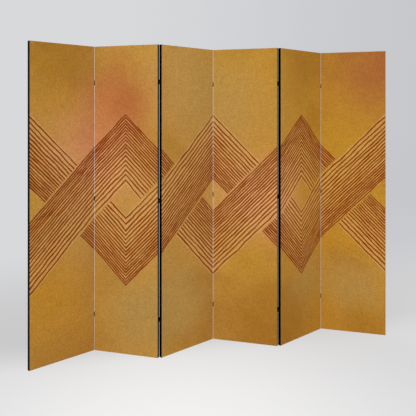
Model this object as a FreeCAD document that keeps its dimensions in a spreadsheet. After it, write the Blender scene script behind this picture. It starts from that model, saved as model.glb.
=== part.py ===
import FreeCAD, Part
import os
import re

import Sketcher

# A folding room divider: six canvas panels in a row, hinged edge to edge so that they stand in a zigzag,
# open to a flat wall or fold up like a fan.
# Each panel is a wooden stretcher frame with mitred bridle corners and a tenoned middle rail. Printed
# canvas is stretched over its front, wrapped round its edges and turned in behind, and a plain cloth
# closes its back. Three small lift-off hinges join each panel to the next: a leaf with a rolled lower
# knuckle and its pin on one edge, and a leaf whose upper knuckle drops over that pin on the other. Their
# axes lie just outside the front faces at one joint and just outside the backs at the next.
# Millimetres. Z is up, X runs along the row from panel 1 to panel 6, and the fronts face -Y. The origin
# is on the floor, in the middle of the row.

SHEET = "sizes"

# Driving sizes: lengths in millimetres, angles in degrees
DRIVING = {
    "panel_count": 6,
    "panel_width": 400,
    "panel_height": 1800,
    "rest_turn": 28.8,
    "bar_width": 40,
    "bar_thickness": 18,
    "bar_rim": 8,
    "bar_slope_drop": 2,
    "tongue_thickness": 6,
    "middle_rail_width": 40,
    "middle_rail_setback": 3,
    "tenon_shoulder": 6,
    "tenon_length": 14,
    "canvas_thickness": 0.6,
    "canvas_turn_in": 28,
    "back_cloth_thickness": 0.4,
    "back_cloth_inset": 5,
    "hinges_per_joint": 3,
    "hinge_length": 30,
    "hinge_end_distance": 215,
    "knuckles_per_hinge": 2,
    "knuckle_gap": 0.2,
    "leaf_thickness": 0.5,
    "leaf_margin": 6.4,
    "axis_standoff": 0.5,
    "pin_radius": 0.55,
    "pin_clearance": 0.05,
    "pin_end": 0.3,
}

# Sizes that follow from the driving ones
DERIVED = {
    "frame_width": "panel_width - 2 * canvas_thickness",
    "frame_height": "panel_height - 2 * canvas_thickness",
    "wrap_depth": "bar_thickness / 2 + canvas_thickness",
    "bore_radius": "pin_radius + pin_clearance",
    "knuckle_radius": "bore_radius + leaf_thickness",
    "knuckle_pitch": "hinge_length / knuckles_per_hinge",
    "axis_depth": "wrap_depth + axis_standoff",
    "axis_reach": "panel_width / 2 + knuckle_radius",
    "leaf_width": "axis_depth + wrap_depth - leaf_margin",
    "leaf_root": "knuckle_radius + knuckle_gap",
    "lowest_hinge": "hinge_end_distance - panel_height / 2",
    "hinge_travel": "panel_height - 2 * hinge_end_distance",
    "panel_pitch": "2 * (axis_reach * cos(rest_turn * 1deg) + axis_depth * sin(rest_turn * 1deg))",
}

LEFT, RIGHT = -1, 1
FRONT, BACK = -1, 1


def bound(text):
    """An expression in the document's terms: each size's name gets the sheet's name before it."""
    names = set(DRIVING) | set(DERIVED)
    return re.sub(r"[a-z_]+", lambda word: f"{SHEET}.{word[0]}" if word[0] in names else word[0], text)


def value(text):
    """The number that an expression in the sheet's sizes gives now."""
    return float(sheet.evalExpression(bound(text)))


def count(name):
    return int(value(name))


def fill_sheet():
    """One row per size: its name, then its number or formula, which carries the name as its alias."""
    row = 0
    for name, number in DRIVING.items():
        row += 1
        sheet.set(f"A{row}", name)
        sheet.set(f"B{row}", str(number))
        sheet.setAlias(f"B{row}", name)
    for name, formula in DERIVED.items():
        row += 1
        sheet.set(f"A{row}", name)
        sheet.set(f"B{row}", "=" + formula)
        sheet.setAlias(f"B{row}", name)
    doc.recompute()


# Document helpers


def origin_feature(body, role):
    return next(feature for feature in body.Origin.OriginFeatures if feature.Role == role)


def new_body(label, panel):
    """An empty body in the place of its panel, modelled about the middle of the panel's frame."""
    body = doc.addObject("PartDesign::Body", label)
    body.Label = label
    body.AllowCompound = True
    body.Placement = FreeCAD.Placement(FreeCAD.Vector(), FreeCAD.Rotation(FreeCAD.Vector(0, 0, 1), 1))
    body.setExpression("Placement.Base.x", bound(f"({panel} - (panel_count + 1) / 2) * panel_pitch"))
    body.setExpression("Placement.Base.z", bound("panel_height / 2"))
    body.setExpression("Placement.Rotation.Angle", bound(f"{turn_sign(panel)} * rest_turn * 1deg"))
    return body


def turn_sign(panel):
    """Odd panels turn anticlockwise seen from above and even panels clockwise, which makes the zigzag."""
    return 1 if panel % 2 else -1


def new_sketch(body, name, role, height="0"):
    """A sketch on one of the body's own origin planes, moved along that plane's normal by height."""
    sketch = body.newObject("Sketcher::SketchObject", name)
    sketch.AttachmentSupport = (origin_feature(body, role), [""])
    sketch.MapMode = "FlatFace"
    sketch.setExpression("AttachmentOffset.Base.z", bound(height))
    return sketch


def tie_point(sketch, edge, end, x, y):
    """Holds one end of an edge (1 start, 2 finish, 3 centre) at x, y from the sketch's origin."""
    for kind, text in (("DistanceX", x), ("DistanceY", y)):
        number = sketch.addConstraint(Sketcher.Constraint(kind, -1, 1, edge, end, value(text)))
        sketch.setExpression(f"Constraints[{number}]", bound(text))


def add_polygon(sketch, corners):
    """A closed outline of straight edges whose corners are pairs of expressions."""
    first = sketch.GeometryCount
    points = [FreeCAD.Vector(value(x), value(y)) for x, y in corners]
    for start, finish in zip(points, points[1:] + points[:1]):
        sketch.addGeometry(Part.LineSegment(start, finish), False)
    for index, (x, y) in enumerate(corners):
        following = first + (index + 1) % len(corners)
        sketch.addConstraint(Sketcher.Constraint("Coincident", first + index, 2, following, 1))
        tie_point(sketch, first + index, 1, x, y)


def add_rectangle(sketch, low, high):
    (x_low, y_low), (x_high, y_high) = low, high
    add_polygon(sketch, [(x_low, y_low), (x_high, y_low), (x_high, y_high), (x_low, y_high)])


def add_circle(sketch, x, y, radius):
    centre = FreeCAD.Vector(value(x), value(y))
    edge = sketch.addGeometry(Part.Circle(centre, FreeCAD.Vector(0, 0, 1), value(radius)), False)
    tie_point(sketch, edge, 3, x, y)
    number = sketch.addConstraint(Sketcher.Constraint("Radius", edge, value(radius)))
    sketch.setExpression(f"Constraints[{number}]", bound(radius))


def pad(body, sketch, name, length):
    """Material on both sides of the sketch, length in all."""
    feature = body.newObject("PartDesign::Pad", name)
    feature.Profile = sketch
    feature.SideType = "Symmetric"
    feature.setExpression("Length", bound(length))
    return feature


def pocket(body, sketch, name, length=None):
    """A cut on both sides of the sketch, length in all, or right through the solid."""
    feature = body.newObject("PartDesign::Pocket", name)
    feature.Profile = sketch
    feature.SideType = "Symmetric"
    if length is None:
        feature.Type = "ThroughAll"
    else:
        feature.setExpression("Length", bound(length))
    return feature


def repeat_up_the_edge(body):
    """Repeats the whole piece at every hinge of its edge, from the lowest one up."""
    doc.recompute()
    pattern = body.newObject("PartDesign::LinearPattern", "hinge_places")
    pattern.TransformMode = "Whole shape"
    pattern.Direction = (origin_feature(body, "Z_Axis"), [""])
    pattern.setExpression("Length", bound("hinge_travel"))
    pattern.setExpression("Occurrences", bound("hinges_per_joint"))
    body.Tip = pattern


# Stretcher frame


def bar_section(outer, sign):
    """A bar's section as (across, depth) pairs: flat back, and a front that slopes away behind its rim."""
    face, slope_end = "-bar_thickness / 2", "bar_slope_drop - bar_thickness / 2"
    rim, inner = f"{sign} * ({outer} - bar_rim)", f"{sign} * ({outer} - bar_width)"
    outside = f"{sign} * ({outer})"
    return [(outside, face), (rim, face), (inner, slope_end), (inner, f"-({face})"), (outside, f"-({face})")]


def corner_triangle(side, end, of_stile):
    """The half of a frame corner that one bar gives up to the other at the mitre, as (x, z) pairs."""
    outer_x, inner_x = f"{side} * frame_width / 2", f"{side} * (frame_width / 2 - bar_width)"
    outer_z, inner_z = f"{end} * frame_height / 2", f"{end} * (frame_height / 2 - bar_width)"
    spare = (inner_x, outer_z) if of_stile else (outer_x, inner_z)
    return [(outer_x, outer_z), spare, (inner_x, inner_z)]


def make_stile(panel, side):
    """An upright bar, slotted at both ends for the rails' tongues and mortised for the middle rail."""
    body = new_body(f"stile_{'left' if side == LEFT else 'right'}_{panel}", panel)
    section = new_sketch(body, "bar_section", "XY_Plane")
    add_polygon(section, bar_section("frame_width / 2", side))
    pad(body, section, "bar", "frame_height")

    mitres = new_sketch(body, "mitre_lines", "XZ_Plane")
    slots = new_sketch(body, "slot_outlines", "XZ_Plane")
    inner_x, outer_x = f"{side} * (frame_width / 2 - bar_width)", f"{side} * frame_width / 2"
    for end in (-1, 1):
        add_polygon(mitres, corner_triangle(side, end, of_stile=True))
        corner_z = f"{end} * (frame_height / 2 - bar_width)"
        add_rectangle(slots, (inner_x, corner_z), (outer_x, f"{end} * frame_height / 2"))
    pocket(body, mitres, "mitres")
    pocket(body, slots, "bridle_slots", "tongue_thickness")

    mortise = new_sketch(body, "mortise_outline", "XZ_Plane")
    half_tenon = "(middle_rail_width / 2 - tenon_shoulder)"
    mortise_x = f"{side} * (frame_width / 2 - bar_width + tenon_length)"
    add_rectangle(mortise, (inner_x, f"-{half_tenon}"), (mortise_x, half_tenon))
    pocket(body, mortise, "mortise", "tongue_thickness")
    return body


def make_end_rail(panel, end):
    """The top or bottom bar, mitred outside and with a full-size tongue in the middle of each end."""
    body = new_body(f"{'bottom' if end < 0 else 'top'}_rail_{panel}", panel)
    section = new_sketch(body, "bar_section", "YZ_Plane")
    add_polygon(section, [(depth, across) for across, depth in bar_section("frame_height / 2", end)])
    pad(body, section, "bar", "frame_width")

    mitres = new_sketch(body, "mitre_lines", "XZ_Plane")
    for side in (LEFT, RIGHT):
        add_polygon(mitres, corner_triangle(side, end, of_stile=False))
    pocket(body, mitres, "mitres")
    pad(body, mitres, "tongues", "tongue_thickness")
    return body


def make_middle_rail(panel):
    """The cross bar, set back from both cloths, with a tenon at each end."""
    body = new_body(f"middle_rail_{panel}", panel)
    rail = new_sketch(body, "rail_section", "YZ_Plane")
    half_depth, half_rail = "(bar_thickness / 2 - middle_rail_setback)", "middle_rail_width / 2"
    add_rectangle(rail, (f"-{half_depth}", f"-{half_rail}"), (half_depth, half_rail))
    pad(body, rail, "rail", "frame_width - 2 * bar_width")

    tenons = new_sketch(body, "tenon_section", "YZ_Plane")
    half_tongue, half_tenon = "tongue_thickness / 2", "(middle_rail_width / 2 - tenon_shoulder)"
    add_rectangle(tenons, (f"-{half_tongue}", f"-{half_tenon}"), (half_tongue, half_tenon))
    pad(body, tenons, "tenons", "frame_width - 2 * bar_width + 2 * tenon_length")
    return body


# Cloths


def make_canvas(panel):
    """The printed canvas: a front sheet, its wraps round all four edges, and the strips turned in behind."""
    body = new_body(f"printed_canvas_{panel}", panel)
    outside = new_sketch(body, "outside", "XY_Plane")
    add_rectangle(outside, ("-panel_width / 2", "-wrap_depth"), ("panel_width / 2", "wrap_depth"))
    pad(body, outside, "outer_block", "panel_height")

    inside = new_sketch(body, "inside", "XY_Plane")
    half_frame, half_bar = "frame_width / 2", "bar_thickness / 2"
    add_rectangle(inside, (f"-{half_frame}", f"-{half_bar}"), (half_frame, half_bar))
    pocket(body, inside, "room_for_the_frame", "frame_height")

    window = new_sketch(body, "window", "XZ_Plane", height="-wrap_depth")
    half_across = "(panel_width / 2 - canvas_turn_in)"
    half_up = "(panel_height / 2 - canvas_turn_in)"
    add_rectangle(window, (f"-{half_across}", f"-{half_up}"), (half_across, half_up))
    pocket(body, window, "window_behind", "bar_thickness")
    return body


def make_back_cloth(panel):
    """The plain cloth behind, laid over the turned-in strips and set in from the panel's edges."""
    body = new_body(f"back_cloth_{panel}", panel)
    cloth = new_sketch(body, "cloth_section", "XY_Plane")
    half_cloth = "(panel_width / 2 - back_cloth_inset)"
    add_rectangle(cloth, (f"-{half_cloth}", "wrap_depth"), (half_cloth, "wrap_depth + back_cloth_thickness"))
    pad(body, cloth, "cloth", "panel_height - 2 * back_cloth_inset")
    return body


# Hinges


def hinge_face(panel):
    """The face that the axis on a panel's left edge stands in front of. Its right edge has the other."""
    return BACK if panel % 2 else FRONT


def add_rolled_strip(sketch, side, face):
    """A leaf's end view: a flat strip on the panel's edge that is rolled into a barrel round the axis."""
    axis_x, axis_y = f"{side} * axis_reach", f"{face} * axis_depth"
    seat_x, open_x = f"{side} * panel_width / 2", f"{side} * (panel_width / 2 + leaf_thickness)"
    tip_y = f"{face} * (axis_depth - leaf_width)"
    root_y = f"{face} * (axis_depth - sqrt(knuckle_radius ^ 2 - bore_radius ^ 2))"
    corners = [(seat_x, axis_y), (seat_x, tip_y), (open_x, tip_y), (open_x, root_y)]
    points = [FreeCAD.Vector(value(x), value(y)) for x, y in corners]
    for start, finish in zip(points, points[1:]):
        sketch.addGeometry(Part.LineSegment(start, finish), False)
    for index in range(len(points) - 1):
        tie_point(sketch, index, 1, *corners[index])
        if index:
            sketch.addConstraint(Sketcher.Constraint("Coincident", index - 1, 2, index, 1))

    centre = FreeCAD.Vector(value(axis_x), value(axis_y))
    circle = Part.Circle(centre, FreeCAD.Vector(0, 0, 1), value("knuckle_radius"))
    seat_angle, root_angle = circle.parameter(points[0]), circle.parameter(points[-1])
    from_seat = side != face
    ends = (seat_angle, root_angle) if from_seat else (root_angle, seat_angle)
    barrel = sketch.addGeometry(Part.ArcOfCircle(circle, *ends), False)
    seat_end, root_end = (1, 2) if from_seat else (2, 1)
    last_line = len(points) - 2
    tie_point(sketch, barrel, 3, axis_x, axis_y)
    sketch.addConstraint(Sketcher.Constraint("Coincident", barrel, seat_end, 0, 1))
    sketch.addConstraint(Sketcher.Constraint("Coincident", barrel, root_end, last_line, 2))
    sketch.addConstraint(Sketcher.Constraint("Vertical", last_line))
    add_circle(sketch, axis_x, axis_y, "bore_radius")


def make_leaves(panel, side):
    """The leaves on one edge of a panel: the right edge's have the lower knuckle, the left's the upper."""
    body = new_body(f"hinge_leaves_{'left' if side == LEFT else 'right'}_{panel}", panel)
    face = hinge_face(panel) * (1 if side == LEFT else -1)
    plate = new_sketch(body, "plate_section", "XY_Plane", height="lowest_hinge")
    seat_x, open_x = f"{side} * panel_width / 2", f"{side} * (panel_width / 2 + leaf_thickness)"
    root_y, tip_y = f"{face} * (axis_depth - leaf_root)", f"{face} * (axis_depth - leaf_width)"
    add_rectangle(plate, (seat_x, root_y), (open_x, tip_y))
    pad(body, plate, "plate", "hinge_length")

    first = 0 if side == RIGHT else 1
    for knuckle in range(first, count("knuckles_per_hinge"), 2):
        height = f"lowest_hinge + ({knuckle} - (knuckles_per_hinge - 1) / 2) * knuckle_pitch"
        strip = new_sketch(body, f"knuckle_section_{knuckle}", "XY_Plane", height)
        add_rolled_strip(strip, side, face)
        pad(body, strip, f"knuckle_{knuckle}", "knuckle_pitch - knuckle_gap")

    repeat_up_the_edge(body)
    return body


def make_pins(panel):
    """The pins of the hinges on a panel's right edge, one through each barrel."""
    body = new_body(f"hinge_pins_{panel}", panel)
    face = -hinge_face(panel)
    section = new_sketch(body, "pin_section", "XY_Plane", height="lowest_hinge")
    add_circle(section, "axis_reach", f"{face} * axis_depth", "pin_radius")
    pad(body, section, "pin", "hinge_length + 2 * pin_end")
    repeat_up_the_edge(body)
    return body


def make_panel(panel):
    """Every piece of one panel, with the hinge leaves and pins that it carries."""
    pieces = [make_stile(panel, LEFT), make_stile(panel, RIGHT)]
    pieces += [make_end_rail(panel, 1), make_middle_rail(panel), make_end_rail(panel, -1)]
    pieces += [make_canvas(panel), make_back_cloth(panel)]
    if panel > 1:
        pieces.append(make_leaves(panel, LEFT))
    if panel < count("panel_count"):
        pieces += [make_leaves(panel, RIGHT), make_pins(panel)]
    return pieces


def check_document(pieces):
    """Stops on any object that failed to compute and on any piece without a sound shape."""
    for item in doc.Objects:
        if {"Invalid", "Error"} & set(item.State):
            raise RuntimeError(f"{item.Label} did not compute: {item.State}")
    for piece in pieces:
        if piece.Shape.isNull() or not piece.Shape.isValid() or not piece.Shape.Solids:
            raise RuntimeError(f"{piece.Label} has no sound shape")


doc = FreeCAD.newDocument("room_divider")
sheet = doc.addObject("Spreadsheet::Sheet", SHEET)
fill_sheet()
sub_parts = [piece for panel in range(1, count("panel_count") + 1) for piece in make_panel(panel)]
doc.recompute()
check_document(sub_parts)

os.makedirs("parts", exist_ok=True)
for sub_part in sub_parts:
    sub_part.Shape.exportStep(f"parts/{sub_part.Label}.step")
print(f"{len(sub_parts)} sub-parts written")
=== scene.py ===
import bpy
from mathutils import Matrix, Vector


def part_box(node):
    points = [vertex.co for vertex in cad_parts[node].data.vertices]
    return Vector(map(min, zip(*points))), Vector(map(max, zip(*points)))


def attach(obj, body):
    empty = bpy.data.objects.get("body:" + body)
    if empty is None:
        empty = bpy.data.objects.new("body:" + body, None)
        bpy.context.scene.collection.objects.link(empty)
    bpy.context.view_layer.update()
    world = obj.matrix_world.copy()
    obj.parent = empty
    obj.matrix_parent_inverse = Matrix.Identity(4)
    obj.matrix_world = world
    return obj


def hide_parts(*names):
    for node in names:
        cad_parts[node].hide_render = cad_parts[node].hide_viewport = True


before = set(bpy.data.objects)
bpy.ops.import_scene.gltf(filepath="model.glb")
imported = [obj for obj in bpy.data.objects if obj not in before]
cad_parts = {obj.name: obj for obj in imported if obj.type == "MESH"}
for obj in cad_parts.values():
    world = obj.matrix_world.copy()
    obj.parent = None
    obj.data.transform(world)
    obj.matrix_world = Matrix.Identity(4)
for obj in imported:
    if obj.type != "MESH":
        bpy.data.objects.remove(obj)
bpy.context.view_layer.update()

import math
import random

import bmesh
import bpy
from mathutils import Matrix, Vector

# A six-leaf folding screen: canvas panels with a printed braid of fine lines, black edges and backs,
# and three small black hinges at every joint. Lengths are in metres, angles in degrees, and colours
# are screen values.

MM = 0.001
PANELS = range(1, 7)

# Canvas
CANVAS_THICKNESS = 0.6 * MM
CANVAS_ARRIS = 0.5 * MM
CANVAS_TURN_IN = 28 * MM
CANVAS_CELL = 14 * MM
SUPPORT_LOOP = 4 * MM
ARRIS_STEPS = 3
SIDE_STEPS = 4
TURN_IN_STEPS = 2
WELD = 0.01 * MM
DISH = 0.40 * MM
EDGE_PULL = 0.08 * MM
EDGE_PULL_REACH = 20 * MM
SIDE_PULL_PITCH = 74 * MM
END_PULL_PITCH = 66 * MM

# Swelling of the canvas's sides at the row's left edge, joints 1-2 to 5-6 and the row's right edge
SIDE_SWELLS = (0.6 * MM, 0.85 * MM, 0.6 * MM, 0.55 * MM, 0.6 * MM, 0.7 * MM, 0.6 * MM)
PRESS_CLEARANCE = 1 * MM
PRESS_RUN = 6 * MM
ROWS_APART = 3 * MM

# Lining
LINING_THICKNESS = 0.25 * MM
LINING_CELL = 12 * MM
LINING_DROP = 0.15 * MM
LINING_SAG = 1.8 * MM
FOLD_RISE = 0.45 * MM
CREASE_RISE = 0.22 * MM
HEM_WIDTH = 12 * MM
HEM_RISE = 0.17 * MM
HEM_SLOPE = 1 * MM
STAPLE_PULL = 0.12 * MM
STAPLE_PULL_REACH = 26 * MM

# Fasteners
STAPLE_PITCH = 82 * MM
STAPLE_INSET = 6.5 * MM
STAPLE_TO_CORNER = 30 * MM
STAPLE_SCATTER = 1.2 * MM
STAPLE_TURN = 9
STAPLE_CROWN = 10 * MM
STAPLE_WIRE = (1.1 * MM, 0.45 * MM)
STAPLE_PROUD = 0.07 * MM
STAPLE_LEG = 1.0 * MM
STAPLE_BEND = 0.1 * MM
STAPLE_INNER_BEND = 0.3 * MM
STAPLE_CREST_SHARE = 1.4
SCREW_RADIUS = 2.3 * MM
SCREW_RISE = 0.45 * MM
SCREW_SKIRT = 0.3 * MM
SCREW_SPREAD = 9 * MM
SCREW_INSET = 5 * MM
SCREW_SIDES = 24
SCREW_RING_SHARES = (0.16, 0.34, 0.52, 0.68, 0.86, 1.0)
CROSS_HALF_SHARE = 0.14
CROSS_REACH_SHARE = 0.62
CROSS_DEPTH = 0.35 * MM
HINGES_APART = 50 * MM
LEAF_TIP = 1 * MM

# Print, with the sizes of the patches in which it varies
BRAID_HEIGHT = 0.90
BRAID_HALF_PERIOD = 0.60
BRAID_SWING = 0.30
BRAID_HALF_RISE = 0.205
BRAID_MARGIN = 8 * MM
LINE_WIDTH = 8.8 * MM
LINE_BLUR = 0.5 * MM
FINE_PITCH = 10 * MM
COARSE_PITCH = 22 * MM
SWAY_PATCH = 0.13
WEIGHT_PATCH = 0.08
WOBBLE_PATCH = 0.12
WOBBLE_REACH = 3.5 * MM
TREMOR_PATCH = 0.035
TREMOR_REACH = 1.2 * MM
RAGGED_PATCH = 4 * MM
RAGGED_REACH = 1.0 * MM
CLOUD_PATCH = 0.55
DRIFT_PATCH = 0.34
SWIRL_PATCH = 0.22
SWIRL_REACH = 0.30
GOLD_SPAN = (1.2, 2.0)
BLOT_PATCH = 34 * MM
GRAIN_PATCH = 11 * MM
SPECK_PATCH = 3 * MM
FLECK_PATCH = 9 * MM
INK_PATCH = 0.09

# Black edges of the canvas
PRINT_OVERLAP = 1.0 * MM
HINGE_RIM = 1.0 * MM
BLACK_RIM_LEFT = 2.4 * MM
BLACK_RIM_RIGHT = 1.1 * MM
RIM_PATCH = 20 * MM
RIM_REACH = 0.4 * MM
RIM_BLUR = 0.15 * MM
RUBBED_PATCH = 5 * MM

# Weaves
CANVAS_PITCH = 1.1 * MM
CANVAS_THREAD = 1.6 * MM
CANVAS_WEAVE_DEPTH = 0.10 * MM
SLUB_PATCH = 14 * MM
SLUB_DEPTH = 0.22 * MM
LINING_PITCH = 0.8 * MM
LINING_WEAVE_DEPTH = 0.12 * MM
LINT_PATCH = 3 * MM
LINING_CLOUD_PATCH = 0.16
RUMPLE_PATCH = 20 * MM
RUMPLE_DEPTH = 0.4 * MM

# Metal and wood
WORN_PATCH = 4 * MM
LACQUER_PATCH = 9 * MM
ORANGE_PEEL_PATCH = 0.9 * MM
ORANGE_PEEL_DEPTH = 0.03 * MM
DULL_PATCH = 3 * MM
BRUSH_PATCH = 0.5 * MM
BRUSH_DEPTH = 0.015 * MM
RINGS_PER_METRE = 34
WARP_PATCH = 0.25
WOOD_GRAIN_PATCH = 1.2 * MM
WOOD_GRAIN_DEPTH = 0.08 * MM

# Screen colours, red, green and blue from 0 to 255
WARM_GROUND = (188, 141, 67)
GOLD_GROUND = (187, 135, 45)
GOLD = (190, 140, 42)
OCHRE = (161, 111, 38)
AMBER = (191, 134, 37)
REED = (168, 136, 78)
SALMON = (219, 155, 103)
CLAY = (178, 92, 58)
TAN = (198, 153, 82)
STRAW = (181, 146, 80)
RUST = (164, 98, 52)
PAPER = (228, 178, 118)
INK = (132, 54, 3)
EDGE_BLACK = (5, 5, 7)
EDGE_RUBBED = (22, 21, 22)
BACK_BLACK = (31, 30, 32)
BACK_FADED = (40, 39, 41)
BACK_LINT = (66, 64, 65)
BACK_THREAD = (20, 19, 21)
LACQUER_BLACK = (7, 7, 8)
LACQUER_WORN = (40, 40, 42)
SCREW_BLACK = (34, 34, 36)
STEEL = (150, 150, 152)
ZINC = (186, 187, 190)
PINE = (196, 158, 108)
PINE_DARK = (150, 104, 60)
PINE_GRAIN = (120, 84, 52)
PINE_PALE = (210, 176, 128)

# Blushes of colour on the ground: centre and reach along the row and upwards, colour, amount
BLUSHES = (
    (0.36, 1.16, 0.46, 0.50, SALMON, 0.86),
    (0.56, 1.43, 0.42, 0.44, CLAY, 0.70),
    (0.22, 0.70, 0.42, 0.62, TAN, 0.70),
    (0.92, 1.62, 0.36, 0.50, TAN, 0.70),
    (1.50, 0.88, 0.46, 0.42, SALMON, 0.78),
    (2.40, 1.72, 0.52, 0.56, RUST, 0.95),
    (0.16, 1.82, 0.44, 0.42, OCHRE, 0.75),
    (0.24, 0.02, 0.60, 0.30, OCHRE, 0.50),
    (0.08, 0.98, 0.26, 0.40, GOLD, 0.35),
    (1.56, 0.08, 0.62, 0.52, OCHRE, 1.00),
    (1.24, 1.50, 0.44, 0.50, STRAW, 0.55),
    (1.84, 0.36, 0.26, 0.34, REED, 0.50),
    (1.80, 1.76, 0.32, 0.44, OCHRE, 0.64),
    (2.10, 0.96, 0.36, 0.56, GOLD, 0.75),
    (2.30, 0.02, 0.40, 0.36, OCHRE, 0.75),
    (0.70, 0.25, 0.44, 0.46, REED, 0.75),
    (0.98, 0.90, 0.56, 0.34, TAN, 0.60),
    (0.13, 0.37, 0.42, 0.44, AMBER, 0.78),
    (0.10, 1.46, 0.30, 0.26, AMBER, 0.40),
    (2.20, 0.30, 0.36, 0.28, REED, 0.62),
    (0.98, 0.24, 0.28, 0.30, STRAW, 0.55),
)

# Share of the bake map's width that the canvas's outer side takes
BAKE_SHARE = 0.96

# Floor and light
FLOOR = (226, 226, 227)
FLOOR_SHADE = (220, 220, 221)
# Painted light on the floor, for what the camera sees: a pool of light in front of the screen, the tone at
# its edge, and a shadow behind the screen, lighter to the right
FLOOR_POOL = (249, 249, 249)
FLOOR_SIDE = (220, 220, 221)
FLOOR_SHADOW_BEHIND_LEFT = (201, 201, 202)
FLOOR_SHADOW_BEHIND_RIGHT = (209, 209, 210)
FLOOR_GLOW = 0.8
POOL_MIDDLE = (-0.4, -0.9, 0.0)
POOL_SPAN = (0.1, 1.6)
SHADOW_BEHIND_SPAN = (-0.15, 0.3)
SIDE_SPAN = (-1.0, 1.4)
BEYOND_SPAN = (0.5, 2.6)
FLOOR_FADE = (3.0, 7.0)
FLOOR_RADIUS = 40
FLOOR_SIDES = 96
SPECKLE_PATCH = 0.02
BACKDROP_LEFT = (216, 217, 219)
BACKDROP_RIGHT = (198, 199, 203)
BACKDROP_SPAN = (0.0, 0.65)
SKY_STRENGTH = 0.62
KEY_STRENGTH = 1.5
KEY_AZIMUTH = -24
KEY_ELEVATION = 38
KEY_SOFTNESS = 50

# Camera
CAMERA_PLACE = (-0.7980, -3.2133, 1.3887)
CAMERA_TURN = -13.055
CAMERA_LENS = 47.153
CAMERA_SENSOR = 36
CAMERA_SHIFT = -0.2211


def linear(screen):
    """A screen colour as the linear one that a shader takes."""
    shares = [value / 255 for value in screen]
    return tuple(s / 12.92 if s <= 0.04045 else ((s + 0.055) / 1.055) ** 2.4 for s in shares) + (1.0,)


class Shader:
    """A material's or a world's nodes, with a short call for each kind that the looks below are made of."""

    def __init__(self, name, world=False):
        self.owner = (bpy.data.worlds if world else bpy.data.materials).new(name)
        self.owner.use_nodes = True
        self.tree = self.owner.node_tree
        self.surface = self.tree.nodes["Background" if world else "Principled BSDF"]

    def node(self, kind, **settings):
        made = self.tree.nodes.new("ShaderNode" + kind)
        for name, value in settings.items():
            setattr(made, name, value)
        return made

    def feed(self, socket, value):
        if isinstance(value, bpy.types.NodeSocket):
            self.tree.links.new(value, socket)
        else:
            socket.default_value = value

    def math(self, operation, first, second=0.0, third=0.0, clamp=False):
        made = self.node("Math", operation=operation, use_clamp=clamp)
        for socket, value in zip(made.inputs, (first, second, third)):
            self.feed(socket, value)
        return made.outputs[0]

    def vector(self, operation, first, second=(0, 0, 0), scale=1.0):
        made = self.node("VectorMath", operation=operation)
        self.feed(made.inputs[0], first)
        self.feed(made.inputs[1], second)
        if operation == "SCALE":
            made.inputs["Scale"].default_value = scale
        return made.outputs["Value"] if operation == "LENGTH" else made.outputs[0]

    def ramp(self, value, low, high, start=0.0, end=1.0):
        """A smooth change from start at the low value to end at the high one."""
        made = self.node("MapRange", interpolation_type="SMOOTHSTEP")
        for socket, number in zip(made.inputs, (value, low, high, start, end)):
            self.feed(socket, number)
        return made.outputs[0]

    def noise(self, place, size, detail=2.0, rough=0.5, seed=0.0, output="Fac"):
        """Smooth noise from 0 to 1, about 0.5, in patches of this size. Its Color is three such noises."""
        made = self.node("TexNoise", noise_dimensions="4D")
        self.feed(made.inputs["Vector"], place)
        self.feed(made.inputs["W"], seed)
        made.inputs["Scale"].default_value = 1 / size
        made.inputs["Detail"].default_value = detail
        made.inputs["Roughness"].default_value = rough
        return made.outputs[output]

    def waver(self, place, size, reach, detail=1.0, rough=0.5, seed=0.0):
        """Smooth noise from -reach to reach."""
        return self.math("MULTIPLY_ADD", self.noise(place, size, detail, rough, seed), 2 * reach, -reach)

    def mix(self, share, first, second, blend="MIX"):
        made = self.node("Mix", data_type="RGBA", blend_type=blend)
        self.feed(made.inputs["Factor"], share)
        for socket, colour in zip((made.inputs[6], made.inputs[7]), (first, second)):
            self.feed(socket, colour if isinstance(colour, bpy.types.NodeSocket) else linear(colour))
        return made.outputs[2]

    def map(self, name):
        return self.node("UVMap", uv_map=name).outputs[0]

    def split(self, vector):
        made = self.node("SeparateXYZ")
        self.feed(made.inputs[0], vector)
        return made.outputs[0], made.outputs[1], made.outputs[2]

    def place(self):
        return self.node("TexCoord").outputs["Object"]

    def bump(self, height, depth, before=None):
        made = self.node("Bump")
        made.inputs["Strength"].default_value = 1.0
        made.inputs["Distance"].default_value = depth
        self.feed(made.inputs["Height"], height)
        if before is not None:
            self.feed(made.inputs["Normal"], before)
        return made.outputs[0]

    def finish(self, colour, roughness, normal=None, metal=0.0, **uniform):
        self.feed(self.surface.inputs["Base Color"], colour)
        self.feed(self.surface.inputs["Roughness"], roughness)
        self.surface.inputs["Metallic"].default_value = metal
        if normal is not None:
            self.feed(self.surface.inputs["Normal"], normal)
        for name, value in uniform.items():
            self.surface.inputs[name.replace("_", " ")].default_value = value
        return self.owner


def plain_weave(sh, place, pitch):
    """Height from 0 to 1 of a plain weave of this thread pitch, over a flat map in metres."""
    across, along, _ = sh.split(place)
    turns = math.pi / pitch
    a = sh.math("SINE", sh.math("MULTIPLY", across, turns))
    b = sh.math("SINE", sh.math("MULTIPLY", along, turns))
    over = sh.math("MULTIPLY", a, b)
    return sh.math("MULTIPLY_ADD", over, 0.5, 0.5)


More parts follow.
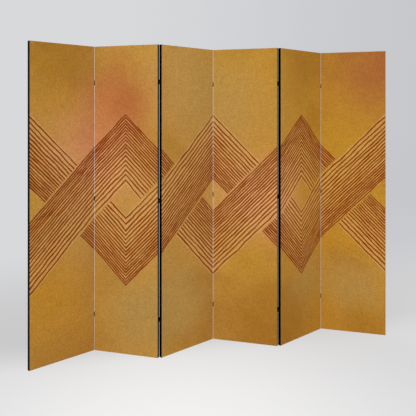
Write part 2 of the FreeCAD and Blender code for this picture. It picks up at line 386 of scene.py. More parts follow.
def graded_lines(sh, place, depth, width, seed):
    """How far inside the nearest line's edge a point lies, in metres, and less than 0 outside it.

    The hand-drawn lines run along a ribbon, close together at depth 0 and far apart at its other side."""
    count = round(width / ((FINE_PITCH + COARSE_PITCH) / 2))
    start = 2 * FINE_PITCH / (FINE_PITCH + COARSE_PITCH)
    share = sh.math("DIVIDE", depth, width, clamp=True)
    bend = sh.math("MULTIPLY_ADD", share, 1 - start, start)
    phase = sh.math("MULTIPLY", sh.math("MULTIPLY", bend, share), count)
    pace = sh.math("MULTIPLY", sh.math("MULTIPLY_ADD", share, 2 * (1 - start), start), count / width)
    line = sh.math("MULTIPLY_ADD", sh.math("FLOOR", phase), 3.7, seed)
    sway = sh.math("MULTIPLY_ADD", sh.noise(place, SWAY_PATCH, 2.0, 0.6, seed=line), 0.90, 0.05)
    off_line = sh.math("ABSOLUTE", sh.math("SUBTRACT", sh.math("FRACT", phase), sway))
    weight = sh.noise(place, WEIGHT_PATCH, 2.0, 0.6, seed=sh.math("ADD", line, 40.0))
    half_line = sh.math("MULTIPLY", sh.math("MULTIPLY_ADD", weight, 1.2, 0.4), LINE_WIDTH / 2)
    return sh.math("SUBTRACT", half_line, sh.math("DIVIDE", off_line, pace))


def braid(sh, place, along, up):
    """The print's two interlaced zigzag ribbons: (ink, ribbon), each from 0 to 1."""
    width = 2 * BRAID_HALF_RISE * math.cos(math.atan(2 * BRAID_SWING / BRAID_HALF_PERIOD))
    lean = width / (2 * BRAID_HALF_RISE)
    wobble = sh.waver(place, WOBBLE_PATCH, WOBBLE_REACH, seed=3.1)
    tremor = sh.waver(place, TREMOR_PATCH, TREMOR_REACH, seed=7.7)
    unsteady = sh.math("ADD", sh.math("ADD", up, wobble), tremor)
    rise = sh.math("SUBTRACT", unsteady, BRAID_HEIGHT)
    zigzag = sh.math("PINGPONG", along, BRAID_HALF_PERIOD)
    swing = sh.math("MULTIPLY_ADD", zigzag, 2 * BRAID_SWING / BRAID_HALF_PERIOD, -BRAID_SWING)
    turn = sh.math("MODULO", sh.math("FLOOR", sh.math("DIVIDE", along, BRAID_HALF_PERIOD)), 2.0)

    depths = []
    for operation in ("SUBTRACT", "ADD"):
        off = sh.math(operation, rise, swing)
        depths.append(sh.math("MULTIPLY_ADD", off, lean, BRAID_HALF_RISE * lean))
    depths[1] = sh.math("SUBTRACT", width, depths[1])

    def within(depth, margin):
        low = sh.math("GREATER_THAN", depth, -margin)
        return sh.math("MULTIPLY", low, sh.math("LESS_THAN", depth, width + margin))

    wide = [within(depth, BRAID_MARGIN) for depth in depths]
    first_under = sh.math("MULTIPLY", turn, wide[1])
    second_under = sh.math("MULTIPLY", sh.math("SUBTRACT", 1.0, turn), wide[0])
    ragged = sh.waver(place, RAGGED_PATCH, RAGGED_REACH, 2.0, seed=1.9)
    inks, ribbons = [], []
    for seed, depth, under in zip((10.0, 80.0), depths, (first_under, second_under)):
        shows = sh.math("MULTIPLY", within(depth, 0.0), sh.math("SUBTRACT", 1.0, under))
        inside = sh.math("ADD", graded_lines(sh, place, depth, width, seed), ragged)
        inks.append(sh.math("MULTIPLY", shows, sh.ramp(inside, -LINE_BLUR, LINE_BLUR)))
        ribbons.append(shows)
    return sh.math("MAXIMUM", *inks), sh.math("MAXIMUM", *ribbons)


def print_ground(sh, place):
    """The washed ochre ground, with its blushes of gold, salmon and rust."""
    along_row, _, _ = sh.split(place)
    cloud = sh.noise(place, CLOUD_PATCH, 3.0, 0.55, seed=0.4)
    drift = sh.noise(place, DRIFT_PATCH, 3.0, 0.55, seed=5.2)
    colour = sh.mix(sh.ramp(along_row, *GOLD_SPAN), WARM_GROUND, GOLD_GROUND)
    colour = sh.mix(sh.ramp(cloud, 0.40, 0.68, 0.0, 0.6), colour, GOLD)
    colour = sh.mix(sh.ramp(drift, 0.46, 0.70, 0.0, 0.5), colour, OCHRE)
    swirl = sh.noise(place, SWIRL_PATCH, 3.0, output="Color")
    swirl = sh.vector("SUBTRACT", swirl, (0.5, 0.5, 0.5))
    bent = sh.vector("ADD", place, sh.vector("SCALE", swirl, scale=SWIRL_REACH))
    for along, up, reach_along, reach_up, blush, amount in BLUSHES:
        off = sh.vector("SUBTRACT", bent, (along, up, 0))
        off = sh.vector("DIVIDE", off, (reach_along, reach_up, 1))
        flat = sh.vector("MULTIPLY", off, (1, 1, 0))
        share = sh.ramp(sh.vector("LENGTH", flat), 1.0, 0.0, 0.0, amount)
        colour = sh.mix(share, colour, blush)
    return colour


def print_limit(sh, t, from_corner):
    """How far from the panel's middle line the print ends: a little round the arris at the front joints,
    but inside it beside their hinges, so that a narrow rim of black shows there."""
    beside = 0.0
    for foot, head in hinge_spans("right", 1):
        off = sh.math("ABSOLUTE", sh.math("SUBTRACT", t, (foot + head) / 2))
        here = sh.math("LESS_THAN", off, (head - foot) / 2 + PRESS_CLEARANCE)
        beside = sh.math("MAXIMUM", beside, here)
    reach = sh.math("MULTIPLY_ADD", beside, -PRINT_OVERLAP - HINGE_RIM, PRINT_OVERLAP)
    at_front_joint = sh.math("GREATER_THAN", from_corner, PANEL_WIDTH / 2)
    return sh.math("MULTIPLY_ADD", at_front_joint, reach, PANEL_WIDTH / 2)


def make_printed_canvas():
    """Artist's canvas: the print on the front, plain black round the edges and behind."""
    sh = Shader("printed_canvas")
    cloth, place = sh.map("cloth"), sh.map("print")
    along, up, _ = sh.split(place)
    ground = print_ground(sh, place)
    ink, ribbon = braid(sh, place, along, up)

    blot = sh.noise(place, BLOT_PATCH, 3.0, 0.6, seed=9.0)
    grain = sh.noise(place, GRAIN_PATCH, 2.0, 0.7, seed=2.0)
    speck = sh.noise(place, SPECK_PATCH, 1.0, 0.5, seed=4.0)
    light = sh.math("MULTIPLY_ADD", blot, 0.24, 0.88)
    light = sh.math("MULTIPLY", light, sh.math("MULTIPLY_ADD", grain, 0.74, 0.63))
    light = sh.math("MULTIPLY", light, sh.math("MULTIPLY_ADD", speck, 0.36, 0.82))
    shade = sh.node("CombineXYZ")
    for socket in shade.inputs:
        sh.feed(socket, light)
    fleck = sh.ramp(sh.noise(place, FLECK_PATCH, 3.0, 0.7, seed=12.0), 0.52, 0.70, 0.0, 0.42)
    paper = sh.mix(sh.math("MULTIPLY", ribbon, 0.28), sh.mix(fleck, ground, RUST), PAPER)
    patchy = sh.ramp(sh.noise(place, INK_PATCH, 3.0, 0.6, seed=6.0), 0.3, 0.7, 0.86, 1.0)
    colour = sh.mix(sh.math("MULTIPLY", ink, patchy), paper, INK)
    colour = sh.mix(1.0, colour, shade.outputs[0], "MULTIPLY")

    # At the back joints and the row's two ends the black starts a little inside the edge.
    s, t, _ = sh.split(cloth)
    off_corner = sh.math("WRAP", along, PANEL_WIDTH, -PANEL_WIDTH)
    from_corner = sh.math("ABSOLUTE", off_corner)
    past_side = sh.math("SUBTRACT", sh.math("ABSOLUTE", s), print_limit(sh, t, from_corner))
    past_end = sh.math("SUBTRACT", sh.math("ABSOLUTE", t), PANEL_HEIGHT / 2 - CANVAS_ARRIS / 2)
    past_left = sh.math("SUBTRACT", BLACK_RIM_LEFT, from_corner)
    past_right = sh.math("SUBTRACT", BLACK_RIM_RIGHT, from_corner)
    right_of = sh.math("GREATER_THAN", off_corner, 0.0)
    past_rim = sh.math("ADD", sh.math("MULTIPLY", past_left, right_of),
                       sh.math("MULTIPLY", past_right, sh.math("SUBTRACT", 1.0, right_of)))
    past = sh.math("MAXIMUM", sh.math("MAXIMUM", past_side, past_end), past_rim)
    uneven = sh.waver(cloth, RIM_PATCH, RIM_REACH, 3.0, 0.6)
    edge = sh.ramp(sh.math("ADD", past, uneven), -RIM_BLUR, RIM_BLUR)
    rubbed = sh.ramp(sh.noise(cloth, RUBBED_PATCH, 3.0, 0.7), 0.6, 0.8, 0.0, 0.4)
    colour = sh.mix(edge, colour, sh.mix(rubbed, EDGE_BLACK, EDGE_RUBBED))

    weave = plain_weave(sh, cloth, CANVAS_PITCH)
    thread = sh.noise(cloth, CANVAS_THREAD, 2.0, 0.6, seed=8.0)
    normal = sh.bump(sh.math("MULTIPLY_ADD", thread, 0.5, weave), CANVAS_WEAVE_DEPTH)
    normal = sh.bump(sh.noise(cloth, SLUB_PATCH, 3.0, 0.6, seed=3.0), SLUB_DEPTH, normal)
    roughness = sh.ramp(grain, 0.3, 0.7, 0.78, 0.92)
    return sh.finish(colour, roughness, normal, Specular_IOR_Level=0.03)


def make_back_cloth_look():
    """Black lining cloth with a close weave and a little lint."""
    sh = Shader("back_cloth")
    cloth = sh.map("cloth")
    weave = plain_weave(sh, cloth, LINING_PITCH)
    lint = sh.ramp(sh.noise(cloth, LINT_PATCH, 2.0, 0.7, seed=2.0), 0.62, 0.82)
    cloud = sh.ramp(sh.noise(cloth, LINING_CLOUD_PATCH, 3.0, 0.6, seed=1.0), 0.3, 0.7)
    colour = sh.mix(sh.math("MULTIPLY", cloud, 0.6), BACK_BLACK, BACK_FADED)
    colour = sh.mix(sh.math("MULTIPLY", lint, 0.5), colour, BACK_LINT)
    colour = sh.mix(sh.math("MULTIPLY", weave, 0.25), colour, BACK_THREAD)
    normal = sh.bump(weave, LINING_WEAVE_DEPTH)
    normal = sh.bump(sh.noise(cloth, RUMPLE_PATCH, 4.0, 0.6, seed=5.0), RUMPLE_DEPTH, normal)
    return sh.finish(colour, 0.88, normal, Sheen_Weight=0.25, Sheen_Roughness=0.45,
                     Specular_IOR_Level=0.25)


def make_lacquer():
    """Black lacquered steel, rubbed a little in places."""
    sh = Shader("hinge_leaf")
    place = sh.place()
    worn = sh.ramp(sh.noise(place, WORN_PATCH, 4.0, 0.7), 0.62, 0.78)
    colour = sh.mix(sh.math("MULTIPLY", worn, 0.35), LACQUER_BLACK, LACQUER_WORN)
    roughness = sh.ramp(sh.noise(place, LACQUER_PATCH, 3.0, 0.6, seed=2.0), 0.3, 0.7, 0.40, 0.56)
    normal = sh.bump(sh.noise(place, ORANGE_PEEL_PATCH, 2.0, 0.6, seed=4.0), ORANGE_PEEL_DEPTH)
    return sh.finish(colour, roughness, normal, Specular_IOR_Level=0.16)


def make_metal(name, screen, rough_low, rough_high):
    """Brushed metal of this screen colour, a little dulled."""
    sh = Shader(name)
    place = sh.place()
    dull = sh.noise(place, DULL_PATCH, 3.0, 0.6)
    darker = tuple(0.72 * value for value in screen)
    colour = sh.mix(sh.ramp(dull, 0.35, 0.7, 0.0, 0.8), screen, darker)
    stretched = sh.vector("MULTIPLY", place, (1, 1, 0.1))
    brushed = sh.noise(stretched, BRUSH_PATCH, 2.0, 0.6, seed=3.0)
    roughness = sh.ramp(brushed, 0.3, 0.7, rough_low, rough_high)
    return sh.finish(colour, roughness, sh.bump(brushed, BRUSH_DEPTH), metal=1.0)


def make_pine():
    """Planed pine, with growth rings along the bar."""
    sh = Shader("frame_wood")
    place = sh.place()
    warp = sh.noise(place, WARP_PATCH, 3.0, 0.6)
    rings = sh.node("TexWave", wave_type="RINGS", bands_direction="DIAGONAL")
    rings.inputs["Scale"].default_value = RINGS_PER_METRE
    rings.inputs["Distortion"].default_value = 3.5
    rings.inputs["Detail"].default_value = 3
    sh.feed(rings.inputs["Vector"], sh.vector("MULTIPLY", place, (1, 1, 0.05)))
    drawn_out = sh.vector("MULTIPLY", place, (1, 1, 0.02))
    grain = sh.noise(drawn_out, WOOD_GRAIN_PATCH, 3.0, 0.6, seed=2.0)
    late = sh.math("MULTIPLY", sh.ramp(rings.outputs["Fac"], 0.4, 0.95), 0.75)
    colour = sh.mix(late, PINE, PINE_DARK)
    colour = sh.mix(sh.ramp(grain, 0.4, 0.8, 0.0, 0.4), colour, PINE_GRAIN)
    colour = sh.mix(sh.ramp(warp, 0.4, 0.7, 0.0, 0.3), colour, PINE_PALE)
    roughness = sh.ramp(grain, 0.3, 0.7, 0.55, 0.75)
    return sh.finish(colour, roughness, sh.bump(grain, WOOD_GRAIN_DEPTH))


# Sizes that come from the frame

def world_points(node):
    return [Vector(vertex.co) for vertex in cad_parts[node].data.vertices]


def mean_point(points):
    return sum(points, Vector()) / len(points)


def panel_place(number):
    """Panel axes in the row: along from its left stile to its right one, y to the back, z up."""
    left = mean_point(world_points(f"stile_left_{number}"))
    right = mean_point(world_points(f"stile_right_{number}"))
    along = right - left
    along.z = 0
    low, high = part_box(f"printed_canvas_{number}")
    turn = math.atan2(along.y, along.x)
    return Matrix.Translation((low + high) / 2) @ Matrix.Rotation(turn, 4, "Z")


def node_in_panel(node, number):
    """A node's points in its panel's own axes."""
    inverse = panel_place(number).inverted()
    return [inverse @ point for point in world_points(node)]


def panel_size(number):
    """Width, depth and height of a panel's canvas in the panel's own axes."""
    local = node_in_panel(f"printed_canvas_{number}", number)
    return [2 * max(point[axis] for point in local) for axis in range(3)]


PANEL_WIDTH, PANEL_DEPTH, PANEL_HEIGHT = panel_size(1)


def steps(low, high, cell):
    """Evenly spaced values from low to high, at most a cell apart."""
    count = math.ceil((high - low) / cell)
    return [low + (high - low) * i / count for i in range(count + 1)]


def steps_with_rims(half, cell, rims):
    """Steps from -half to half, with close ones at these distances from both ends."""
    inner = steps(-half + rims[-1], half - rims[-1], cell)
    edge = [0.0, *rims[:-1]]
    return [-half + r for r in edge] + inner + [half - r for r in reversed(edge)]


def hump(share):
    """0 at both ends of the share from 0 to 1, and 1 halfway."""
    return math.sin(math.pi * min(max(share, 0.0), 1.0)) ** 2


def clamp(value, limit):
    return min(max(value, -limit), limit)


def grid_of(bm, columns, rows, depth):
    """A flat grid that faces -y at this depth."""
    grid = [[bm.verts.new((x, depth, z)) for x in columns] for z in rows]
    for low, high in zip(grid, grid[1:]):
        for i in range(len(columns) - 1):
            bm.faces.new((low[i], low[i + 1], high[i + 1], high[i]))


def extend(bm, rim, move):
    """Extrudes the rim's edges, moves the new points, and returns the new rim."""
    made = bmesh.ops.extrude_edge_only(bm, edges=rim)["geom"]
    for item in made:
        if isinstance(item, bmesh.types.BMVert):
            item.co = move(item.co)
    return [item for item in made if isinstance(item, bmesh.types.BMEdge) and item.is_boundary]


def write_map(bm, name, flat):
    """Adds a flat map: flat gives a face corner's place from its face and its point."""
    layer = bm.loops.layers.uv.new(name)
    for face in bm.faces:
        centre = face.calc_center_median()
        for loop in face.loops:
            loop[layer].uv = flat(face.normal, centre, loop.vert.co)


def add_piece(name, bm, material, place):
    """Turns the gathered mesh into a smooth object at this place."""
    mesh = bpy.data.meshes.new(name)
    bm.to_mesh(mesh)
    bm.free()
    mesh.materials.append(material)
    mesh.shade_smooth()
    made = bpy.data.objects.new(name, mesh)
    bpy.context.scene.collection.objects.link(made)
    made.matrix_world = place
    return made


def thicken(piece, thickness):
    """Gives the sheet its thickness inwards, and applies it."""
    solid = piece.modifiers.new("thickness", "SOLIDIFY")
    solid.thickness = thickness
    solid.offset = -1
    bpy.context.view_layer.update()
    evaluated = piece.evaluated_get(bpy.context.evaluated_depsgraph_get())
    mesh = bpy.data.meshes.new_from_object(evaluated)
    piece.modifiers.clear()
    piece.data = mesh


def front_dish(x, z, number):
    """How far the stretched front lies behind its flat plane: a slight dish, with pulls at its edges."""
    share_x, share_z = x / PANEL_WIDTH + 0.5, z / PANEL_HEIGHT + 0.5
    to_side = PANEL_WIDTH / 2 - abs(x)
    to_end = PANEL_HEIGHT / 2 - abs(z)
    pull = 0.0
    for distance, run, pitch in ((to_side, z, SIDE_PULL_PITCH), (to_end, x, END_PULL_PITCH)):
        wave = 1 + math.sin(2 * math.pi * run / pitch + number)
        pull += math.exp(-distance / EDGE_PULL_REACH) * wave
    return DISH * hump(share_x) * hump(share_z) + EDGE_PULL * pull


def hinge_spans(side, number):
    """Foot and head of each hinge leaf on one side of a panel, none at the row's two free edges."""
    node = f"hinge_leaves_{side}_{number}"
    return hinge_spots(node, number)[0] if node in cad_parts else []


def pressed(z, spans):
    """Share of a side's swelling at this height: none at the hinge leaves, which press the cloth flat."""
    away = min([max(foot - z, z - head) for foot, head in spans], default=PANEL_HEIGHT)
    return min(max((away - PRESS_CLEARANCE) / PRESS_RUN, 0.0), 1.0)


def press_rows(spans):
    """Heights where the swelling starts and where it is full, next to each hinge leaf."""
    rows = set()
    for foot, head in spans:
        for reach in (PRESS_CLEARANCE, PRESS_CLEARANCE + PRESS_RUN):
            rows.update((round(foot - reach, 4), round(head + reach, 4)))
    return sorted(rows)


def with_rows(rows, extra):
    """The rows with the extra ones let in, less those that would lie close to one of these."""
    kept = [row for row in rows if all(abs(row - other) > ROWS_APART for other in extra)]
    return sorted(kept + extra)


def unrolled(normal, centre, point):
    """Where a point of the wrapped canvas lies when the cloth is laid flat, from the front's middle."""
    half_w, half_d, half_h = PANEL_WIDTH / 2, PANEL_DEPTH / 2, PANEL_HEIGHT / 2
    x, y, z = point
    if normal.y < -0.7:
        return x, z
    if normal.y > 0.7:
        sideways = abs(centre.x) - half_w > abs(centre.z) - half_h
        if sideways:
            return math.copysign(2 * half_w + 2 * half_d - abs(x), centre.x), z
        return x, math.copysign(2 * half_h + 2 * half_d - abs(z), centre.z)
    if abs(normal.x) > abs(normal.z):
        return math.copysign(half_w + y + half_d, normal.x), z
    return x, math.copysign(half_h + y + half_d, normal.z)


def cloth_cut():
    """Width and length that the canvas is cut to."""
    wrap = 2 * (PANEL_DEPTH + CANVAS_TURN_IN)
    return PANEL_WIDTH + wrap, PANEL_HEIGHT + wrap


def build_canvas(number, material):
    """The front, its sides and the strips turned in behind, as one stretched sheet with round arrises."""
    half_w, half_d, half_h = PANEL_WIDTH / 2, PANEL_DEPTH / 2, PANEL_HEIGHT / 2
    rims = (SUPPORT_LOOP, 2 * SUPPORT_LOOP)
    spans = [hinge_spans(side, number) for side in ("left", "right")]
    columns = steps_with_rims(half_w, CANVAS_CELL, rims)
    rows = with_rows(steps_with_rims(half_h, CANVAS_CELL, rims), press_rows(spans[0] + spans[1]))
    bm = bmesh.new()
    grid_of(bm, columns, rows, -half_d)
    rim = [edge for edge in bm.edges if edge.is_boundary]
    for depth in steps(-half_d, half_d, PANEL_DEPTH / SIDE_STEPS)[1:]:
        rim = extend(bm, rim, lambda point: Vector((point.x, depth, point.z)))
    for inset in steps(0, CANVAS_TURN_IN, CANVAS_TURN_IN / TURN_IN_STEPS)[1:]:
        wide, tall = half_w - inset, half_h - inset
        rim = extend(bm, rim, lambda point: Vector((clamp(point.x, wide), point.y, clamp(point.z, tall))))
    bmesh.ops.remove_doubles(bm, verts=bm.verts, dist=WELD)
    sharp = [edge for edge in bm.edges if len(edge.link_faces) == 2 and edge.calc_face_angle() > 1]
    bmesh.ops.bevel(bm, geom=sharp, offset=CANVAS_ARRIS, segments=ARRIS_STEPS, profile=0.5, affect="EDGES")
    bm.normal_update()
    for vert in bm.verts:
        x, y, z = vert.co
        if y < -half_d + WELD:
            vert.co.y += front_dish(x, z, number)
        if abs(x) > half_w - 1.01 * CANVAS_ARRIS:
            swell = SIDE_SWELLS[number - 1 + (x > 0)] * pressed(z, spans[x > 0])
            vert.co.x += math.copysign(swell, x)
    along = (number - 0.5) * PANEL_WIDTH
    cut_w, cut_l = cloth_cut()

    def on_print(normal, centre, point):
        s, t = unrolled(normal, centre, point)
        return s + along, t + half_h

    def on_bake(normal, centre, point):
        s, t = unrolled(normal, centre, point)
        return BAKE_SHARE * (s / cut_w + 0.5), t / cut_l + 0.5

    write_map(bm, "cloth", unrolled)
    write_map(bm, "print", on_print)
    write_map(bm, "OFBake", on_bake)
    outer_faces = len(bm.faces)
    canvas = add_piece(f"canvas_{number}", bm, material, panel_place(number))
    thicken(canvas, CANVAS_THICKNESS)
    # The hidden inner side shares a narrow strip of the map.
    layer = canvas.data.uv_layers["OFBake"].data
    for face in canvas.data.polygons[outer_faces:]:
        for index in face.loop_indices:
            u, v = layer[index].uv
            layer[index].uv = (1 - (1 - BAKE_SHARE) * 0.5 * u, v)
    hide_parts(f"printed_canvas_{number}")
    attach(canvas, f"panel_{number}")
    return canvas


def lining_size(number):
    """Half width, back face and half height of the lining, in the panel's own axes."""
    local = node_in_panel(f"back_cloth_{number}", number)
    return [max(point[axis] for point in local) for axis in range(3)]


def bar_reach(number):
    """The frame's two openings: half their width, and foot and head of the upper one."""
    stile = node_in_panel(f"stile_right_{number}", number)
    rail = node_in_panel(f"top_rail_{number}", number)
    middle = node_in_panel(f"middle_rail_{number}", number)
    return min(p.x for p in stile), max(p.z for p in middle), min(p.z for p in rail)


def lining_rise(x, z, number, half_w, half_h, reach):
    """How far the lining stands behind its flat plane: hem, pulls at the staples, slack in the openings."""
    clear, foot, head = reach
    to_edge = min(half_w - abs(x), half_h - abs(z))
    rise = HEM_RISE * min(max((HEM_WIDTH - to_edge) / HEM_SLOPE, 0.0), 1.0) - LINING_DROP
    for distance, run in ((half_w - abs(x), z), (half_h - abs(z), x)):
        dip = 0.5 + 0.5 * math.cos(2 * math.pi * run / STAPLE_PITCH)
        rise -= STAPLE_PULL * dip * math.exp(-distance / STAPLE_PULL_REACH)
    if abs(x) < clear and foot < abs(z) < head:
        share_x = (x + clear) / (2 * clear)
        share_z = (abs(z) - foot) / (head - foot)
        slack = hump(share_x) ** 0.5 * hump(share_z) ** 0.5
        fold = math.sin(9 * share_x + 5 * share_z * math.copysign(1, z) + 1.7 * number)
        crease = math.sin(21 * share_z - 6 * share_x + number)
        rise -= slack * (LINING_SAG + FOLD_RISE * fold + CREASE_RISE * crease)
    return rise


def build_lining(number, material):
    """The black cloth that closes the back, hemmed and stapled round its edge."""
    half_w, back, half_h = lining_size(number)
    reach = bar_reach(number)
    rims = (HEM_SLOPE, HEM_WIDTH - HEM_SLOPE, HEM_WIDTH)
    columns, rows = (steps_with_rims(half, LINING_CELL, rims) for half in (half_w, half_h))
    bm = bmesh.new()
    grid_of(bm, columns, rows, back)
    for vert in bm.verts:
        vert.co.y += lining_rise(vert.co.x, vert.co.z, number, half_w, half_h, reach)
    bmesh.ops.reverse_faces(bm, faces=bm.faces)
    write_map(bm, "cloth", lambda normal, centre, point: (point.x, point.z))
    lining = add_piece(f"lining_{number}", bm, material, panel_place(number))
    thicken(lining, LINING_THICKNESS)
    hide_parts(f"back_cloth_{number}")
    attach(lining, f"panel_{number}")
    return lining


def add_staple(bm, place):
    """One staple crown, with its legs let into the wood."""
    width, thick = STAPLE_WIRE
    half = STAPLE_CROWN / 2
    inside = half - thick
    # Outer and inner edge of the wire at the left leg's foot, its bend and the crown's left end
    left = [((-half, -STAPLE_LEG), (-inside, -STAPLE_LEG)),
            ((-half, -STAPLE_BEND), (-inside, -STAPLE_INNER_BEND)),
            ((-inside, thick), (-half + STAPLE_CREST_SHARE * thick, 0))]
    right = [((-a, b), (-c, d)) for (a, b), (c, d) in reversed(left)]
    rings = []
    for outer, inner in left + right:
        ring = zip((outer, outer, inner, inner), (-width / 2, width / 2, width / 2, -width / 2))
        rings.append([bm.verts.new(place @ Vector((a, b, side))) for (a, b), side in ring])
    for first, second in zip(rings, rings[1:]):
        for i in range(4):
            bm.faces.new((first[i], first[i - 1], second[i - 1], second[i]))
    bm.faces.new(rings[0])
    bm.faces.new(reversed(rings[-1]))


def build_staples(number, material):
    """A ring of staples through the lining's hem."""
    half_w, back, half_h = lining_size(number)
    draw = random.Random(100 + number)
    bm = bmesh.new()
    line_x, line_z = half_w - STAPLE_INSET, half_h - STAPLE_INSET
    end_x, end_z = line_x - STAPLE_TO_CORNER, line_z - STAPLE_TO_CORNER
    at_sides = [(line_x * side, z, 90) for side in (-1, 1) for z in steps(-end_z, end_z, STAPLE_PITCH)]
    at_ends = [(x, line_z * end, 0) for end in (-1, 1) for x in steps(-end_x, end_x, STAPLE_PITCH)]
    for x, z, crown_turn in at_sides + at_ends:
        x += draw.uniform(-1, 1) * STAPLE_SCATTER
        z += draw.uniform(-1, 1) * STAPLE_SCATTER
        turn = math.radians(draw.uniform(-STAPLE_TURN, STAPLE_TURN) + crown_turn)
        place = Matrix.Translation((x, back + STAPLE_PROUD - STAPLE_WIRE[1], z))
        place = place @ Matrix.Rotation(turn, 4, "Y")
        add_staple(bm, place)
    bmesh.ops.recalc_face_normals(bm, faces=bm.faces)
    staples = add_piece(f"staples_{number}", bm, material, panel_place(number))
    staples.data.shade_flat()
    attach(staples, f"panel_{number}")
    return staples


def hinge_spots(node, number):
    """A node's hinge leaves in panel axes: foot and head of each, side, outer face and screw depth."""
    local = node_in_panel(node, number)
    heights = sorted(point.z for point in local)
    groups, group = [], [heights[0]]
    for height in heights[1:]:
        if height - group[-1] > HINGES_APART:
            groups.append(group)
            group = []
        group.append(height)
    groups.append(group)
    side = math.copysign(1, mean_point(local).x)
    behind = math.copysign(1, mean_point(local).y)
    tip = min(point.y * behind for point in local)
    plate = [point for point in local if point.y * behind < tip + LEAF_TIP]
    face = max(abs(point.x) for point in plate)
    return [(g[0], g[-1]) for g in groups], side, face, behind * (tip + SCREW_INSET)


def add_screw(bm, place, turn):
    """A low round screw head with a cross recess."""

    def height(x, y):
        share = math.hypot(x, y) / SCREW_RADIUS
        in_arm = min(abs(x), abs(y)) < CROSS_HALF_SHARE * SCREW_RADIUS
        recess = CROSS_DEPTH if in_arm and share < CROSS_REACH_SHARE else 0.0
        return SCREW_RISE * (1 - share ** 3) - recess

    centre = bm.verts.new(place @ Vector((0, 0, height(0, 0))))
    before = None
    for ring_share in SCREW_RING_SHARES:
        radius = ring_share * SCREW_RADIUS
        now = []
        for i in range(SCREW_SIDES):
            angle = 2 * math.pi * i / SCREW_SIDES
            z = height(radius * math.cos(angle), radius * math.sin(angle))
            x, y = radius * math.cos(angle + turn), radius * math.sin(angle + turn)
            now.append(bm.verts.new(place @ Vector((x, y, z))))
        for i in range(SCREW_SIDES):
            if before is None:
                bm.faces.new((centre, now[i - 1], now[i]))
            else:
                bm.faces.new((before[i - 1], now[i - 1], now[i], before[i]))
        before = now
    down = place.to_3x3() @ Vector((0, 0, SCREW_SKIRT))
    foot = [bm.verts.new(vert.co - down) for vert in before]
    for i in range(SCREW_SIDES):
        bm.faces.new((before[i - 1], foot[i - 1], foot[i], before[i]))
    bm.faces.new(list(reversed(foot)))


def build_screws(node, number, material):
    """Two screws on each of a node's hinge leaves."""
    spans, side, face, depth = hinge_spots(node, number)
    draw = random.Random(node)
    bm = bmesh.new()
    for foot, head in spans:
        for off in (-SCREW_SPREAD, SCREW_SPREAD):
            place = Matrix.Translation((side * face, depth, (foot + head) / 2 + off))
            place = place @ Matrix.Rotation(side * math.pi / 2, 4, "Y")
            add_screw(bm, place, draw.uniform(0, math.pi))
    bmesh.ops.recalc_face_normals(bm, faces=bm.faces)
    screws = add_piece(node.replace("hinge_leaves", "hinge_screws"), bm, material, panel_place(number))
    screws.data.shade_flat()
    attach(screws, f"panel_{number}")


def wear(node, material):
    """Gives a CAD node its finish."""
    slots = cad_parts[node].material_slots
    if not slots:
        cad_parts[node].data.materials.append(material)
    for slot in slots:
        slot.material = material


# The screen

canvas_look = make_printed_canvas()
lining_look = make_back_cloth_look()
lacquer = make_lacquer()
steel = make_metal("hinge_pin", STEEL, 0.28, 0.42)
zinc = make_metal("staple_wire", ZINC, 0.35, 0.5)
screw_steel = make_metal("screw_head", SCREW_BLACK, 0.32, 0.48)
pine = make_pine()

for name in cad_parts:
    if name.startswith("hinge_leaves"):
        wear(name, lacquer)
    elif name.startswith("hinge_pins"):
        wear(name, steel)
    elif not name.startswith(("printed_canvas", "back_cloth")):
        wear(name, pine)

for panel in PANELS:
    canvas = build_canvas(panel, canvas_look)
    lining = build_lining(panel, lining_look)
    staples = build_staples(panel, zinc)
    half_w, _, half_h = lining_size(panel)
    for side in ("left", "right"):
        if f"hinge_leaves_{side}_{panel}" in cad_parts:
            build_screws(f"hinge_leaves_{side}_{panel}", panel, screw_steel)


# Floor, light and camera

def backdrop(sh, direction):
    """The pale backdrop's colour this way from the middle, a little darker to the right."""
    across, _, _ = sh.split(direction)
    return sh.mix(sh.ramp(across, *BACKDROP_SPAN), BACKDROP_LEFT, BACKDROP_RIGHT)


def seen_directly(sh):
    """1 for what the camera sees, by itself or in metal or glass, and 0 for light on other surfaces."""
    path = sh.node("LightPath")
    straight = sh.math("MAXIMUM", path.outputs["Is Camera Ray"], path.outputs["Is Glossy Ray"])
    return sh.math("MAXIMUM", straight, path.outputs["Is Transmission Ray"])


def mix_surfaces(sh, share, first, second, output):
    mixed = sh.node("MixShader")
    for socket, value in zip(mixed.inputs, (share, first.outputs[0], second.outputs[0])):
        sh.feed(socket, value)
    sh.feed(sh.tree.nodes[output].inputs["Surface"], mixed.outputs[0])


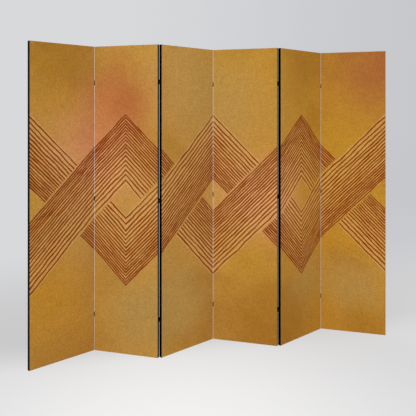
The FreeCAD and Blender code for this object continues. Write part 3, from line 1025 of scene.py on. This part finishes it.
def make_floor_look():
    """Matt white floor with a painted soft pool of light in front and a painted shadow behind the screen,
    its tone running up into the backdrop.
    """
    sh = Shader("floor")
    place = sh.place()
    across, back, _ = sh.split(place)
    speckle = sh.math("MULTIPLY", sh.noise(place, SPECKLE_PATCH, 2.0, 0.6), 0.3)
    sh.finish(sh.mix(speckle, FLOOR, FLOOR_SHADE), 0.9, Specular_IOR_Level=0.1)
    off = sh.vector("LENGTH", sh.vector("SUBTRACT", place, POOL_MIDDLE))
    # Painted pool of light in front of the screen, fading to the side tone.
    tone = sh.mix(sh.ramp(off, *POOL_SPAN), FLOOR_POOL, FLOOR_SIDE)
    # Painted shadow on the floor behind the screen, darker on the left.
    behind = sh.mix(sh.ramp(across, *SIDE_SPAN), FLOOR_SHADOW_BEHIND_LEFT, FLOOR_SHADOW_BEHIND_RIGHT)
    tone = sh.mix(sh.ramp(back, *SHADOW_BEHIND_SPAN), tone, behind)
    tone = sh.mix(sh.ramp(back, *BEYOND_SPAN), tone, backdrop(sh, sh.vector("NORMALIZE", place)))
    glow = sh.node("Emission")
    sh.feed(glow.inputs["Color"], tone)
    off = sh.vector("LENGTH", place)
    share = sh.math("MULTIPLY", sh.ramp(off, *FLOOR_FADE, FLOOR_GLOW, 1.0), seen_directly(sh))
    mix_surfaces(sh, share, sh.surface, glow, "Material Output")
    return sh.owner


def build_floor():
    mesh = bpy.data.meshes.new("floor")
    angles = [2 * math.pi * i / FLOOR_SIDES for i in range(FLOOR_SIDES)]
    rim = [(FLOOR_RADIUS * math.cos(a), FLOOR_RADIUS * math.sin(a), 0) for a in angles]
    mesh.from_pydata(rim, [], [list(range(FLOOR_SIDES))])
    mesh.materials.append(make_floor_look())
    floor = bpy.data.objects.new("floor", mesh)
    bpy.context.scene.collection.objects.link(floor)


def light_world():
    sh = Shader("studio", world=True)
    bpy.context.scene.world = sh.owner
    sh.surface.inputs["Color"].default_value = (1, 1, 1, 1)
    sh.surface.inputs["Strength"].default_value = SKY_STRENGTH
    seen = sh.node("Background")
    sh.feed(seen.inputs["Color"], backdrop(sh, sh.node("TexCoord").outputs["Generated"]))
    mix_surfaces(sh, seen_directly(sh), sh.surface, seen, "World Output")


def add_sun(name, strength, azimuth, elevation, softness):
    """A broad soft light from this azimuth, 0 in front and positive to the right, and elevation."""
    data = bpy.data.lights.new(name, "SUN")
    data.energy = strength
    data.angle = math.radians(softness)
    lamp = bpy.data.objects.new(name, data)
    bpy.context.scene.collection.objects.link(lamp)
    a, e = math.radians(azimuth), math.radians(elevation)
    towards = Vector((math.sin(a) * math.cos(e), -math.cos(a) * math.cos(e), math.sin(e)))
    lamp.rotation_euler = towards.to_track_quat("Z", "Y").to_euler()


def add_camera():
    data = bpy.data.cameras.new("camera")
    data.lens = CAMERA_LENS
    data.sensor_width = CAMERA_SENSOR
    data.shift_y = CAMERA_SHIFT
    camera = bpy.data.objects.new("camera", data)
    bpy.context.scene.collection.objects.link(camera)
    camera.location = CAMERA_PLACE
    camera.rotation_euler = (math.pi / 2, 0, math.radians(CAMERA_TURN))
    bpy.context.scene.camera = camera


build_floor()
light_world()
add_sun("key", KEY_STRENGTH, KEY_AZIMUTH, KEY_ELEVATION, KEY_SOFTNESS)
add_camera()
bpy.context.scene.view_settings.view_transform = "Standard"
